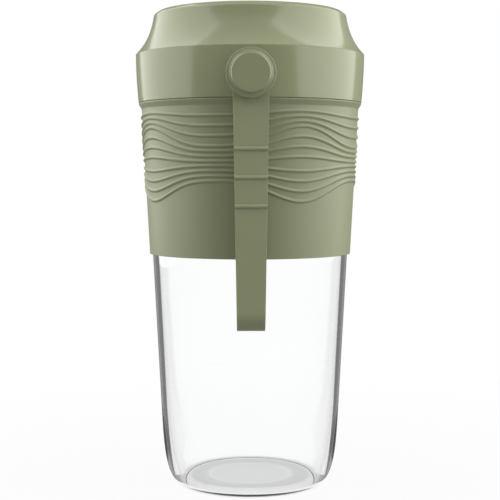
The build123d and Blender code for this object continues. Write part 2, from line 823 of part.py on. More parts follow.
nodes = {
    "cup": cup(), "cup_seal": cup_seal(), "grip_sleeve": grip_sleeve(), "band_housing": band_housing(),
    "top_cap": top_cap(), "power_button": power_button(), "button_clip": button_clip(),
    "strap_bezel": strap_bezel(), "bezel_nut": bezel_nut(), "carry_strap": carry_strap(),
    "motor_deck": motor_deck(), "shaft_seal": shaft_seal(), "deck_bearing": deck_bearing(),
    "drive_shaft": drive_shaft(), "motor_can": motor_can(), "motor_magnets": motor_magnets(),
    "rotor": rotor(), "motor_end_cap": motor_end_cap(), "motor_bush": motor_bush(),
    "motor_brushes": motor_brushes(), "motor_terminals": motor_terminals(), "blade_hub": blade_hub(),
    "upper_blade": Pos(0, 0, hub_z - blade_thickness / 2) * blade(True),
    "lower_blade": Pos(0, 0, hub_z - 1.5 * blade_thickness) * blade(False), "blade_nut": blade_nut(),
    "battery_cell_left": battery_cell(-1), "battery_cell_right": battery_cell(1),
    "battery_links": battery_links(), "upper_frame": upper_frame(), "frame_screws": frame_screws(),
    "housing_screws": housing_screws(), "charge_screws": charge_screws(), "control_board": control_board(),
    "board_chips": board_chips(), "tact_switch": tact_switch(), "switch_plunger": switch_plunger(),
    "charge_board": charge_board(), "usb_socket": usb_socket(), "port_cover": port_cover(),
    "port_cover_pin": port_cover_pin(), "motor_leads": motor_leads(),
}

os.makedirs("parts", exist_ok=True)
for name, shape in nodes.items():
    if isinstance(shape, list):
        shape = Compound(children=shape)
    export_step(shape, "parts/" + name + ".step")
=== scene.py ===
from math import atan2, cos, hypot, pi, radians, sin

import bmesh
import bpy
from mathutils import Matrix, Vector
from mathutils.geometry import interpolate_bezier


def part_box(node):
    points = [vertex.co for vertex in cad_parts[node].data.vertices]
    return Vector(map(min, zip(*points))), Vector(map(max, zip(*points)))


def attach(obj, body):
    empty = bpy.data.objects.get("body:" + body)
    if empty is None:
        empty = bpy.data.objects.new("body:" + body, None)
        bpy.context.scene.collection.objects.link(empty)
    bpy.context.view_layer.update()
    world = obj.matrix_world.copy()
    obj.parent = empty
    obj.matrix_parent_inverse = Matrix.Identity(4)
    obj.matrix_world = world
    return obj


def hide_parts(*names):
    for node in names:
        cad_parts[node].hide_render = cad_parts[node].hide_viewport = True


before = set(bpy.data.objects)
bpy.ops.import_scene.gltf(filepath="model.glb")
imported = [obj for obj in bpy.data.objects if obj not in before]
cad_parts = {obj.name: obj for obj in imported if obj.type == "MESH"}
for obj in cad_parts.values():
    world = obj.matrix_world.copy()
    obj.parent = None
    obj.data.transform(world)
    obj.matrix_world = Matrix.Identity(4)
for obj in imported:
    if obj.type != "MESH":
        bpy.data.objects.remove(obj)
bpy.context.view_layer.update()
mm = 0.001  # pieces are modelled in millimetres and scaled when they are finished
weld = 1e-4
print("frame loaded:", len(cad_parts), "nodes")


def boxMm(node):
    low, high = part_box(node)
    return low / mm, high / mm


cupHigh = boxMm("cup")[1]
sleeveLow = boxMm("grip_sleeve")[0]
bandLow, bandHigh = boxMm("band_housing")
capHigh = boxMm("top_cap")[1]
bezelLow, bezelHigh = boxMm("strap_bezel")
buttonLow, buttonHigh = boxMm("power_button")
strapLow = boxMm("carry_strap")[0]
sealLow, sealHigh = boxMm("cup_seal")
deckLow = boxMm("motor_deck")[0]
studZ = (bezelLow.z + bezelHigh.z) / 2
onStud = Matrix.Translation((0, 0, studZ)) @ Matrix.Rotation(pi / 2, 4, "X")  # Z turns to face the front


# Shader nodes

def tone(red, green, blue):
    # screen colour, 0 to 255, as the linear one that shaders take
    parts = [c / 255 for c in (red, green, blue)]
    return [c / 12.92 if c <= 0.04045 else ((c + 0.055) / 1.055) ** 2.4 for c in parts] + [1.0]


class Wire:
    # one socket of a node tree: sums and products on it add Math nodes
    def __init__(self, tree, socket=None):
        self.tree = tree
        self.socket = socket

    def node(self, kind, settings=None, links=None, out=0):
        made = self.tree.nodes.new(kind)
        for name, value in (settings or {}).items():
            if name == "stops":
                while len(made.color_ramp.elements) < len(value):
                    made.color_ramp.elements.new(0.5)
                for stop, (place, colour) in zip(made.color_ramp.elements, value):
                    stop.position = place
                    stop.color = colour
            else:
                setattr(made, name, value)
        for name, value in (links or {}).items():
            if isinstance(value, Wire):
                self.tree.links.new(value.socket, made.inputs[name])
            else:
                made.inputs[name].default_value = value
        return Wire(self.tree, made.outputs[out]) if made.outputs else made

    def math(self, operation, first, second):
        return self.node("ShaderNodeMath", {"operation": operation}, {0: first, 1: second})

    def __add__(self, other):
        return self.math("ADD", self, other)

    __radd__ = __add__

    def __sub__(self, other):
        return self.math("SUBTRACT", self, other)

    def __rsub__(self, other):
        return self.math("SUBTRACT", other, self)

    def __mul__(self, other):
        return self.math("MULTIPLY", self, other)

    __rmul__ = __mul__

    def __gt__(self, other):
        return self.math("GREATER_THAN", self, other)

    def noise(self, scale, detail=2.0, rough=0.5):
        return self.node("ShaderNodeTexNoise", None,
                         {"Vector": self, "Scale": scale, "Detail": detail, "Roughness": rough})

    def blend(self, dark, light):
        # this value runs from one colour to the other
        return self.node("ShaderNodeMix", {"data_type": "RGBA"}, {0: self, 6: dark, 7: light}, out=2)

    def bump(self, strength, depth):
        # this value as a height in metres times depth
        return self.node("ShaderNodeBump", None, {"Strength": strength, "Distance": depth, "Height": self})


def newMaterial(name):
    material = bpy.data.materials.new(name)
    material.use_nodes = True
    tree = material.node_tree
    tree.nodes.clear()
    return material, Wire(tree)


def objectPlace(start, stretch=(1, 1, 1), turn=(0, 0, 0)):
    place = start.node("ShaderNodeTexCoord", out=3)
    if stretch == (1, 1, 1) and turn == (0, 0, 0):
        return place
    return start.node("ShaderNodeMapping", None, {"Vector": place, "Scale": stretch, "Rotation": turn})


def surface(start, sockets):
    shader = start.node("ShaderNodeBsdfPrincipled", None, sockets)
    start.node("ShaderNodeOutputMaterial", None, {"Surface": shader})


def shaded(colour, share):
    return [c * share for c in colour[:3]] + [1.0]


# Finishes

sage = tone(158, 163, 128)


def makeShellPlastic():
    # glossy moulded shell: faint flow marks, a trace of orange peel, and a matt grain on the cap's flat top
    look = dict(rough=0.17, roughSpread=0.08, topRough=0.5, topEdge=0.15, flow=28, peel=700, peelDepth=0.00002,
                peelStrength=0.25, specks=2600, dark=0.95, light=1.05)
    material, start = newMaterial("greenShell")
    place = objectPlace(start)
    flow = objectPlace(start, (1, 1, 0.35)).noise(look["flow"], 3)
    speck = place.noise(look["specks"], 1)
    peel = place.noise(look["peel"], 2)
    height = start.node("ShaderNodeSeparateXYZ", None, {0: place}, out=2)
    flatTop = height > (capHigh.z - look["topEdge"]) * mm
    leastRough = look["rough"] - look["roughSpread"] / 2
    surface(start, {
        "Base Color": (flow * 0.8 + speck * 0.2).blend(shaded(sage, look["dark"]), shaded(sage, look["light"])),
        "Roughness": flow * look["roughSpread"] + flatTop * look["topRough"] + leastRough,
        "Normal": peel.bump(look["peelStrength"], look["peelDepth"]),
        "IOR": 1.5,
    })
    return material


def makeGripPlastic():
    # satin sleeve: fine spark-eroded grain
    look = dict(rough=0.42, roughSpread=0.1, flow=24, grain=2400, grainDepth=0.00003, grainStrength=0.3, dark=0.86,
                light=0.95)
    material, start = newMaterial("greenGrip")
    place = objectPlace(start)
    flow = objectPlace(start, (1, 1, 0.4)).noise(look["flow"], 3)
    grain = place.noise(look["grain"], 2, 0.6)
    surface(start, {
        "Base Color": (flow * 0.7 + grain * 0.3).blend(shaded(sage, look["dark"]), shaded(sage, look["light"])),
        "Roughness": grain * look["roughSpread"] + (look["rough"] - look["roughSpread"] / 2),
        "Normal": grain.bump(look["grainStrength"], look["grainDepth"]),
        "IOR": 1.5,
    })
    return material


def makeStrapSilicone():
    # matt silicone: soft mottling and a powdery skin
    look = dict(rough=0.5, roughSpread=0.12, cloud=60, skin=3000, skinDepth=0.00002, skinStrength=0.3, dark=0.95,
                light=1.05)
    material, start = newMaterial("greenSilicone")
    place = objectPlace(start)
    cloud = place.noise(look["cloud"], 3)
    skin = place.noise(look["skin"], 2, 0.7)
    surface(start, {
        "Base Color": (cloud * 0.6 + skin * 0.4).blend(shaded(sage, look["dark"]), shaded(sage, look["light"])),
        "Roughness": skin * look["roughSpread"] + (look["rough"] - look["roughSpread"] / 2),
        "Normal": skin.bump(look["skinStrength"], look["skinDepth"]),
        "IOR": 1.42,
    })
    return material


def makeClearCup():
    # clear copolyester: faint handling haze and a slow moulding ripple
    look = dict(haze=18, hazeRough=0.02, ripple=35, rippleDepth=0.00001, rippleStrength=0.1, shine=(0.1, 0.1, 0.1, 1))
    material, start = newMaterial("clearCup")
    place = objectPlace(start)
    haze = place.noise(look["haze"], 4, 0.6)
    ripple = place.noise(look["ripple"], 1)
    surface(start, {
        "Base Color": haze.blend(tone(253, 254, 254), tone(255, 255, 255)),
        "Roughness": haze * look["hazeRough"],
        "Normal": ripple.bump(look["rippleStrength"], look["rippleDepth"]),
        "IOR": 1.5,
        "Specular Tint": look["shine"],
        "Transmission Weight": 1.0,
    })
    return material


def makeFinish(name, dark, light, rough, grain, depth, spread=0.14, metal=0.0, stretch=(1, 1, 1), cloud=70):
    # moulded, sintered, plated or ground surface, told apart by its grain and its slow clouding
    material, start = newMaterial(name)
    clouds = objectPlace(start).noise(cloud, 3)
    grains = objectPlace(start, stretch).noise(grain, 2, 0.6)
    surface(start, {
        "Base Color": (clouds * 0.5 + grains * 0.5).blend(dark, light),
        "Roughness": (clouds * 0.4 + grains * 0.6) * spread + (rough - spread / 2),
        "Metallic": metal,
        "Normal": grains.bump(0.4, depth),
        "IOR": 1.5,
    })
    return material


def makeLaminate():
    # solder mask over a grid of tracks, with the glass weave just showing
    look = dict(tracks=420.0, track=0.06, weave=3200, rough=0.35, roughSpread=0.15, depth=0.00002)
    material, start = newMaterial("boardLaminate")
    place = objectPlace(start)
    flat = objectPlace(start, turn=(pi / 2, 0, 0))
    track = start.node("ShaderNodeTexBrick", {"offset": 0.37}, {
        "Vector": flat, "Scale": look["tracks"], "Mortar Size": look["track"], "Color1": (0, 0, 0, 1),
        "Color2": (0, 0, 0, 1), "Mortar": (1, 1, 1, 1), "Brick Width": 1.6, "Row Height": 0.5}, out=1)
    weave = place.noise(look["weave"], 1)
    surface(start, {
        "Base Color": (track * 0.7 + weave * 0.3).blend(tone(24, 78, 46), tone(58, 122, 76)),
        "Roughness": weave * look["roughSpread"] + look["rough"],
        "Normal": (track * 0.8 + weave * 0.2).bump(0.3, look["depth"]),
        "IOR": 1.5,
    })
    return material


shellPlastic = makeShellPlastic()
gripPlastic = makeGripPlastic()
strapSilicone = makeStrapSilicone()
clearPlastic = makeClearCup()
boardLaminate = makeLaminate()
innerPlastic = makeFinish("innerPlastic", tone(104, 106, 105), tone(118, 120, 118), 0.5, 1800, 0.00003)
sealSilicone = makeFinish("sealSilicone", tone(222, 223, 219), tone(238, 239, 236), 0.5, 2600, 0.00002)
turnedSteel = makeFinish("turnedSteel", tone(196, 198, 200), tone(228, 229, 231), 0.26, 2200, 0.00002, metal=1.0,
                         stretch=(0.05, 0.05, 1))
upperGround = makeFinish("upperGround", tone(200, 202, 204), tone(232, 233, 235), 0.22, 2600, 0.00002, metal=1.0,
                         stretch=(0.05, 1, 1))
lowerGround = makeFinish("lowerGround", tone(200, 202, 204), tone(232, 233, 235), 0.22, 2600, 0.00002, metal=1.0,
                         stretch=(1, 0.05, 1))
platedSteel = makeFinish("platedSteel", tone(172, 174, 176), tone(208, 209, 211), 0.34, 900, 0.00002, metal=1.0)
magnetFerrite = makeFinish("magnetFerrite", tone(44, 44, 46), tone(72, 72, 74), 0.75, 1500, 0.00006, spread=0.2)
bushBronze = makeFinish("bushBronze", tone(178, 140, 84), tone(212, 176, 118), 0.42, 1900, 0.00005, metal=1.0)
cellWrap = makeFinish("cellWrap", tone(70, 118, 152), tone(88, 138, 172), 0.3, 500, 0.00004, stretch=(1, 1, 0.12))
chipBlack = makeFinish("chipBlack", tone(30, 30, 32), tone(48, 48, 50), 0.6, 2400, 0.00003)
nickelStrip = makeFinish("nickelStrip", tone(190, 188, 180), tone(222, 220, 212), 0.3, 1400, 0.00002, metal=1.0,
                         stretch=(1, 0.1, 1))
leadSleeve = makeFinish("leadSleeve", tone(164, 34, 32), tone(186, 48, 44), 0.45, 1600, 0.00002)
print("finishes made")


# Modelling helpers

def outline(bm, corners):
    # closed wire in the XZ plane; a corner is (radius, height) or (radius, height, rounding)
    verts = [bm.verts.new((corner[0], 0, corner[1])) for corner in corners]
    for a, b in zip(verts, verts[1:] + verts[:1]):
        bm.edges.new((a, b))
    for vert, corner in zip(verts, corners):
        if len(corner) > 2:
            bmesh.ops.bevel(bm, geom=[vert], offset=corner[2], offset_type="OFFSET", segments=4, profile=0.5,
                            affect="VERTICES", material=-1)
    return verts


def spinRound(bm, steps):
    bmesh.ops.spin(bm, geom=bm.verts[:] + bm.edges[:], cent=(0, 0, 0), axis=(0, 0, 1), angle=2 * pi, steps=steps,
                   use_merge=True)
    bmesh.ops.remove_doubles(bm, verts=bm.verts, dist=weld)
    bare = [edge for edge in bm.edges if not edge.link_faces]
    bmesh.ops.delete(bm, geom=bare, context="EDGES")
    bmesh.ops.recalc_face_normals(bm, faces=bm.faces)


def lathe(corners, steps):
    bm = bmesh.new()
    outline(bm, corners)
    spinRound(bm, steps)
    return bm


def curve(start, startPull, endPull, end, steps):
    points = interpolate_bezier(*(Vector(p) for p in (start, startPull, endPull, end)), steps + 1)
    return [tuple(point)[:2] for point in points]


def bow(start, middle, end, steps):
    # shallow arc through three points
    pull = 2 * Vector(middle) - (Vector(start) + Vector(end)) / 2
    pulls = [Vector(p) + (pull - Vector(p)) * 2 / 3 for p in (start, end)]
    return curve(start, *pulls, end, steps)


def turn(vert):
    # degrees round the object, from the front towards +X
    return atan2(vert.x, -vert.y) * 180 / pi


def off(angle, middle):
    return (angle - middle + 180) % 360 - 180


def addTo(bm, other):
    mesh = bpy.data.meshes.new("part")
    other.to_mesh(mesh)
    other.free()
    bm.from_mesh(mesh)
    bpy.data.meshes.remove(mesh)


def finishPiece(name, bm, material, body, nodes, sharp=32):
    bmesh.ops.scale(bm, vec=(mm, mm, mm), verts=bm.verts)
    mesh = bpy.data.meshes.new(name)
    bm.to_mesh(mesh)
    bm.free()
    mesh.shade_smooth()
    mesh.set_sharp_from_angle(angle=radians(sharp))
    mesh.materials.append(material)
    piece = bpy.data.objects.new(name, mesh)
    bpy.context.scene.collection.objects.link(piece)
    even = piece.modifiers.new("evenNormals", "WEIGHTED_NORMAL")
    even.keep_sharp = True
    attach(piece, body)
    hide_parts(*nodes)
    print("made", name, len(mesh.polygons), "faces")


# Clear cup

def makeCup():
    size = dict(wall=2.3, floor=2.1, taper=3.1, heel=32.4, heelPull=17.4, footStep=8.05, footWidth=1.3,
                footRecess=0.25, footPullOut=6.7, footPullUp=1.6, floorInset=0.1, floorPull=2.6, floorPullUp=2.1,
                innerPull=17.4, skirtLap=21.15, neckStep=3.5, neckSlope=3.6, neckHeight=19.4, neckRound=0.6,
                lugReach=2.2, lugHeight=2.6, lugDrop=5.6, lugSpan=34.0, stopSpan=3.0, stopLow=5.7, rimRound=0.7,
                footRound=0.4, recessRound=0.5, topRadius=38.65, outerSteps=48, innerSteps=40, turns=360)
    rim = cupHigh.z
    heelRadius = size["topRadius"] - size["taper"]
    lean = size["taper"] / (rim - size["skirtLap"] - size["heel"])
    foot = heelRadius - size["footStep"]
    neckZ = rim - size["neckHeight"]
    shoulder = heelRadius + lean * (neckZ - size["heel"])
    neck = size["topRadius"] - size["neckStep"]
    lugTop = rim - size["lugDrop"]
    lugLow = lugTop - size["lugHeight"]
    heel = (heelRadius, size["heel"])
    outer = curve((foot, 0), (foot + size["footPullOut"], size["footPullUp"]),
                  (heelRadius - lean * size["heelPull"], size["heel"] - size["heelPull"]), heel,
                  size["outerSteps"])
    neckLine = [(shoulder, neckZ, size["neckRound"]), (neck, neckZ + size["neckSlope"], size["neckRound"]),
                (neck, lugTop - size["stopLow"]), (neck, lugLow), (neck, lugTop), (neck, rim, size["rimRound"])]
    bore = neck - size["wall"]
    innerHeel = (heelRadius - size["wall"], size["heel"])
    floorEdge = (foot - size["floorInset"], size["floor"])
    boreLine = [(bore, rim, size["rimRound"]),
                (bore, neckZ + size["neckSlope"] - size["wall"] / 2, size["neckRound"]),
                (shoulder - size["wall"], neckZ - size["wall"] / 2, size["neckRound"])]
    inner = curve(innerHeel, (innerHeel[0] - lean * size["innerPull"], size["heel"] - size["innerPull"]),
                  (floorEdge[0] + size["floorPull"], size["floor"] + size["floorPullUp"]), floorEdge,
                  size["innerSteps"])
    recess = foot - size["footWidth"]
    under = [(0, size["floor"]), (0, size["footRecess"]),
             (recess - size["footRecess"], size["footRecess"], size["recessRound"]), (recess, 0, size["footRound"])]
    bm = lathe(outer + neckLine + boreLine + inner + under, size["turns"])

    # bayonet lugs and their stops stand out of the neck
    raised = []
    for face in bm.faces:
        middle = face.calc_center_median()
        if abs(hypot(middle.x, middle.y) - neck) > 0.1 or middle.z > lugTop or middle.z < lugTop - size["stopLow"]:
            continue
        angle = min((off(-turn(middle), quarter) for quarter in (0, 90, 180, 270)), key=abs)
        inLug = abs(angle) < size["lugSpan"] / 2 and middle.z > lugLow
        inStop = -size["lugSpan"] / 2 - size["stopSpan"] < -angle < -size["lugSpan"] / 2
        if inLug or inStop:
            raised.append(face)
    grown = bmesh.ops.extrude_face_region(bm, geom=raised)["geom"]
    bmesh.ops.delete(bm, geom=raised, context="FACES_ONLY")
    share = (neck + size["lugReach"]) / neck
    bmesh.ops.scale(bm, vec=(share, share, 1), verts=[v for v in grown if isinstance(v, bmesh.types.BMVert)])
    bmesh.ops.recalc_face_normals(bm, faces=bm.faces)
    finishPiece("clearCup", bm, clearPlastic, "cup", ["cup"], sharp=40)


# Grip sleeve with its waves

def makeSleeve():
    size = dict(skirtWall=0.8, thinTop=4.4, bottomRadius=39.8, flare=3.0, wall=1.8, edgeRound=0.12, height=59.15,
                lipHeight=2.35, lipReach=1.1, lipEdge=0.45, ledge=2.4, ledgeInner=36.55, bore=38.55, latchInner=35.65,
                latchTop=104.4, latchHeight=2.8, latchSpan=34.0, spigotHeight=3.0, spigotOuter=41.5,
                spigotSpan=40.0, spigots=(35.0, 145.0, 215.0, 325.0), latches=(45.0, 135.0, 225.0, 315.0),
                deckCollar=6.0, turns=360)
    wave = dict(count=4, crest=27.0, peak=1.55, tight=1.85, loose=3.75, width=1.8, height=0.55, samples=10,
                upperCrest=2.25, upperTrough=3.9, lowerCrest=24.3, lowerTrough=22.4)  # drops below the lip
    low = sleeveLow.z
    top = low + size["height"]
    lipZ = top - size["lipHeight"]
    deckZ = deckLow.z + size["deckCollar"]  # underside of the deck plate
    topRadius = size["bottomRadius"] + size["flare"]

    def wallRadius(z):
        return size["bottomRadius"] + size["flare"] * (z - low) / (lipZ - low)

    def steps(start, gaps):
        return [start - sum(gaps[:i]) for i in range(len(gaps) + 1)]

    tight, loose = wave["tight"], wave["loose"]
    crests = (steps(lipZ - wave["upperCrest"], [tight] * 3 + [loose] * 3)
              + steps(lipZ - wave["lowerCrest"], [loose] * 3))
    troughs = (steps(lipZ - wave["upperTrough"], [loose] * 3 + [tight] * 3)
               + steps(lipZ - wave["lowerTrough"], [tight] * 3))
    ribs = list(zip(crests, troughs))[::-1]

    # each rib has its own rows across the wall, told apart by two layers
    bm = bmesh.new()
    ribLayer = bm.verts.layers.int.new("rib")
    acrossLayer = bm.verts.layers.float.new("across")
    skirtBore = size["bottomRadius"] - size["skirtWall"]
    corners = [(skirtBore, low, 0.2), (size["bottomRadius"], low, size["edgeRound"])]
    firstRow = len(corners)
    rows = []
    for number, (crest, trough) in enumerate(ribs):
        for sample in range(wave["samples"] + 1):
            across = 2 * sample / wave["samples"] - 1
            rows.append((number + 1, across))
            z = (crest + trough) / 2 + across * wave["width"] / 2
            corners.append((wallRadius(z), z))
    ledgeZ = deckZ - size["ledge"]
    corners += [(topRadius, lipZ, 0.3), (topRadius + size["lipReach"], top - size["lipEdge"], 0.15),
                (topRadius + size["lipReach"], top, 0.15), (size["spigotOuter"], top),
                (topRadius - size["wall"], top), (wallRadius(deckZ) - size["wall"], deckZ),
                (size["ledgeInner"], deckZ), (size["ledgeInner"], ledgeZ), (size["bore"], ledgeZ),
                (size["bore"], size["latchTop"]), (size["bore"], size["latchTop"] - size["latchHeight"]),
                (size["bore"], low + size["thinTop"], 0.3), (skirtBore, low + size["thinTop"], 0.2)]
    verts = outline(bm, corners)
    for vert, (number, across) in zip(verts[firstRow:], rows):
        vert[ribLayer] = number
        vert[acrossLayer] = across
    spinRound(bm, size["turns"])
    for vert in bm.verts:
        number = vert[ribLayer]
        if not number:
            continue
        angle = turn(vert.co)
        crest, trough = ribs[number - 1]
        mix = ((1 + cos(radians(wave["count"] * (angle - wave["crest"])))) / 2) ** wave["peak"]
        across = vert[acrossLayer]
        z = trough + (crest - trough) * mix + across * wave["width"] / 2
        radius = wallRadius(z) + wave["height"] * (1 + cos(pi * across)) / 2
        vert.co = (radius * sin(radians(angle)), -radius * cos(radians(angle)), z)

    # latches grow inwards from the bore, spigots grow up from the top edge
    def grow(chosen, move):
        faces = [face for face in bm.faces if chosen(face.calc_center_median())]
        made = bmesh.ops.extrude_face_region(bm, geom=faces)["geom"]
        bmesh.ops.delete(bm, geom=faces, context="FACES_ONLY")
        move([item for item in made if isinstance(item, bmesh.types.BMVert)])

    def inLatch(middle):
        span = min(abs(off(turn(middle), corner)) for corner in size["latches"])
        height = size["latchTop"] - size["latchHeight"] < middle.z < size["latchTop"]
        return span < size["latchSpan"] / 2 and height and hypot(middle.x, middle.y) < size["bore"] + 0.1

    def inSpigot(middle):
        span = min(abs(off(turn(middle) - 90, corner)) for corner in size["spigots"])
        reach = topRadius - size["wall"] < hypot(middle.x, middle.y) < size["spigotOuter"]
        return span < size["spigotSpan"] / 2 and reach and middle.z > top - 0.01

    share = size["latchInner"] / size["bore"]
    grow(inLatch, lambda verts: bmesh.ops.scale(bm, vec=(share, share, 1), verts=verts))
    grow(inSpigot, lambda verts: bmesh.ops.translate(bm, vec=(0, 0, size["spigotHeight"]), verts=verts))
    bmesh.ops.recalc_face_normals(bm, faces=bm.faces)
    finishPiece("gripSleeve", bm, gripPlastic, "head", ["grip_sleeve"], sharp=50)


# Band around the head, with the charging pocket at the back

def makeBand():
    size = dict(wall=2.2, flare=1.0, edge=0.2, belly=0.2, landRadius=7.2, landHole=5.6,
                pocketWidth=12.4, pocketHeight=11.4, pocketBelow=7.3, pocketDepth=3.1, pocketFloor=2.0,
                pocketMargin=1.6, portRise=10.15, slotWidth=9.44, slotHeight=3.76, slotSteps=8, faceSteps=12,
                turns=240)
    low, top = bandLow.z, bandHigh.z
    topRadius = bandHigh.x
    bottomRadius = topRadius - size["flare"]
    bore = bottomRadius - size["wall"]
    middle = ((bottomRadius + topRadius) / 2 + size["belly"], (low + top) / 2)
    face = bow((bottomRadius, low), middle, (topRadius, top), size["faceSteps"])[1:-1]
    bm = lathe([(bore, low), (bottomRadius, low, size["edge"])] + face
               + [(topRadius, top, size["edge"]), (bore, top)], size["turns"])
    portZ = low + size["portRise"]
    floorY = bottomRadius - size["pocketDepth"]
    landY = floorY - size["pocketFloor"]
    pocketLow = portZ - size["pocketBelow"]
    pocketHigh = pocketLow + size["pocketHeight"]

    def openWindow(outside, margin, depth):
        # cuts the wall's seams, takes the faces out and draws the edge to a flat depth
        half = size["pocketWidth"] / 2 + margin
        z0, z1 = pocketLow - margin, pocketHigh + margin

        def inWall(middle):
            far = hypot(middle.x, middle.y) > (bore + bottomRadius) / 2
            return middle.y > 0 and far == outside

        for point, normal in (((half, 0, 0), (1, 0, 0)), ((-half, 0, 0), (1, 0, 0)),
                              ((0, 0, z0), (0, 0, 1)), ((0, 0, z1), (0, 0, 1))):
            faces = [f for f in bm.faces if inWall(f.calc_center_median()) and abs(f.calc_center_median().x) < 2 * half]
            parts = faces + list({e for f in faces for e in f.edges}) + list({v for f in faces for v in f.verts})
            bmesh.ops.bisect_plane(bm, geom=parts, dist=weld, plane_co=point, plane_no=normal)
        inside = []
        for face in bm.faces:
            middle = face.calc_center_median()
            if inWall(middle) and abs(middle.x) < half and z0 < middle.z < z1:
                inside.append(face)
        bmesh.ops.delete(bm, geom=inside, context="FACES")
        edge = [e for e in bm.edges if e.is_boundary and inWall((e.verts[0].co + e.verts[1].co) / 2)]
        made = bmesh.ops.extrude_edge_only(bm, edges=edge)["geom"]
        for vert in made:
            if isinstance(vert, bmesh.types.BMVert):
                vert.co.y = depth
        return [e for e in made if isinstance(e, bmesh.types.BMEdge) and e.is_boundary]

    def slotLoop(y):
        # stadium round the charging socket
        radius = size["slotHeight"] / 2
        reach = size["slotWidth"] / 2 - radius
        verts = []
        for side in (1, -1):
            for step in range(size["slotSteps"] + 1):
                angle = radians(-90 + 180 * step / size["slotSteps"])
                x, z = side * (reach + radius * cos(angle)), portZ + side * radius * sin(angle)
                verts.append(bm.verts.new((x, y, z)))
        return [bm.edges.new(pair) for pair in zip(verts, verts[1:] + verts[:1])]

    innerEdge = openWindow(False, size["pocketMargin"], landY)
    outerEdge = openWindow(True, 0, floorY)
    frontSlot, backSlot = slotLoop(floorY), slotLoop(landY)
    bmesh.ops.bridge_loops(bm, edges=outerEdge + frontSlot)
    bmesh.ops.bridge_loops(bm, edges=innerEdge + backSlot)
    bmesh.ops.bridge_loops(bm, edges=frontSlot + backSlot)
    bmesh.ops.recalc_face_normals(bm, faces=bm.faces)

    # flat land that the strap's eye turns on
    land = lathe([(size["landHole"], bore), (size["landRadius"], bore), (size["landRadius"], -bandLow.y, 0.2),
                  (size["landHole"], -bandLow.y)], 96)
    bmesh.ops.transform(land, matrix=onStud, verts=land.verts)
    addTo(bm, land)
    finishPiece("headBand", bm, shellPlastic, "head", ["band_housing"])


# Flared cap on top

def makeCap():
    size = dict(height=16.9, wall=2.2, topWall=2.4, flare=7.13, rimDrop=1.5, edge=2.1, basePull=4.2, rimPull=6.0,
                rimLean=0.9, seam=0.12, plugDepth=2.0, plugOuter=41.6, plugWall=1.8, plugRise=1.8, hollow=2.5,
                rimRound=0.45, faceRound=0.9, outerSteps=32, innerSteps=12, turns=240)
    top, base = capHigh.z, capHigh.z - size["height"]
    baseRadius = capHigh.x
    rim = (baseRadius - size["flare"], top - size["rimDrop"])
    face = rim[0] - size["edge"]
    ceiling = top - size["topWall"]
    plugInner = size["plugOuter"] - size["plugWall"]
    outer = curve((baseRadius, base), (baseRadius - size["basePull"], base + size["basePull"]),
                  (rim[0] + size["rimLean"], rim[1] - size["rimPull"]), rim, size["outerSteps"])[1:-1]
    corners = [(baseRadius, base, size["seam"])] + outer
    corners += [(*rim, size["rimRound"]), (face, top, size["faceRound"]), (0, top), (0, ceiling)]
    corners += bow((face - size["wall"], ceiling), (plugInner - size["hollow"], (base + ceiling) / 2),
                   (plugInner, base + size["plugRise"]), size["innerSteps"])
    corners += [(plugInner, base - size["plugDepth"]), (size["plugOuter"], base - size["plugDepth"], 0.4),
                (size["plugOuter"], base)]
    bm = lathe(corners, size["turns"])
    finishPiece("topCap", bm, shellPlastic, "head", ["top_cap"])


# Round control: bezel and button

def makeBezel():
    size = dict(rim=1.5, floor=1.0, height=2.6, cove=0.45, coveEdge=0.3, covePull=0.8, coveRise=0.6, shank=5.5,
                bore=3.2)
    front, end = -bezelLow.y, -bezelHigh.y
    back = front - size["height"]
    radius = bezelHigh.x
    inner = radius - size["rim"]
    cove = curve((radius - size["coveEdge"], front - size["cove"]), (radius - size["covePull"], front - size["cove"]),
                 (inner + size["coveEdge"], front - size["cove"] * size["coveRise"]), (inner, front), 10)
    bm = lathe([(size["bore"], end), (size["shank"], end, 0.3), (size["shank"], back), (radius, back, 0.3),
                (radius, front - size["cove"], 0.25)] + cove
               + [(inner, back + size["floor"]), (size["bore"], back + size["floor"])], 128)
    bmesh.ops.transform(bm, matrix=onStud, verts=bm.verts)
    finishPiece("bezelRing", bm, shellPlastic, "head", ["strap_bezel"], sharp=50)


def makeButton():
    size = dict(thickness=1.9, roll=0.9, sideHeight=0.5, sidePull=0.4, facePull=0.4, seam=0.05, stem=3.1, dish=0.1,
                dishShare=0.7)
    front, end = -buttonLow.y, -buttonHigh.y
    back = front - size["thickness"]
    radius = buttonHigh.x
    flat = radius - size["roll"]
    roll = curve((radius, back + size["sideHeight"]), (radius, front - size["sidePull"]),
                 (radius - size["roll"] * size["facePull"], front), (flat, front), 12)
    face = bow((flat - size["seam"], front), (flat / 2, front - size["dish"] * size["dishShare"]),
               (0, front - size["dish"]), 8)
    bm = lathe([(0, end), (size["stem"], end, 0.3), (size["stem"], back), (radius, back, 0.2)] + roll + face, 128)
    bmesh.ops.transform(bm, matrix=onStud, verts=bm.verts)
    finishPiece("powerButton", bm, shellPlastic, "button", ["power_button"], sharp=50)


# Carry strap

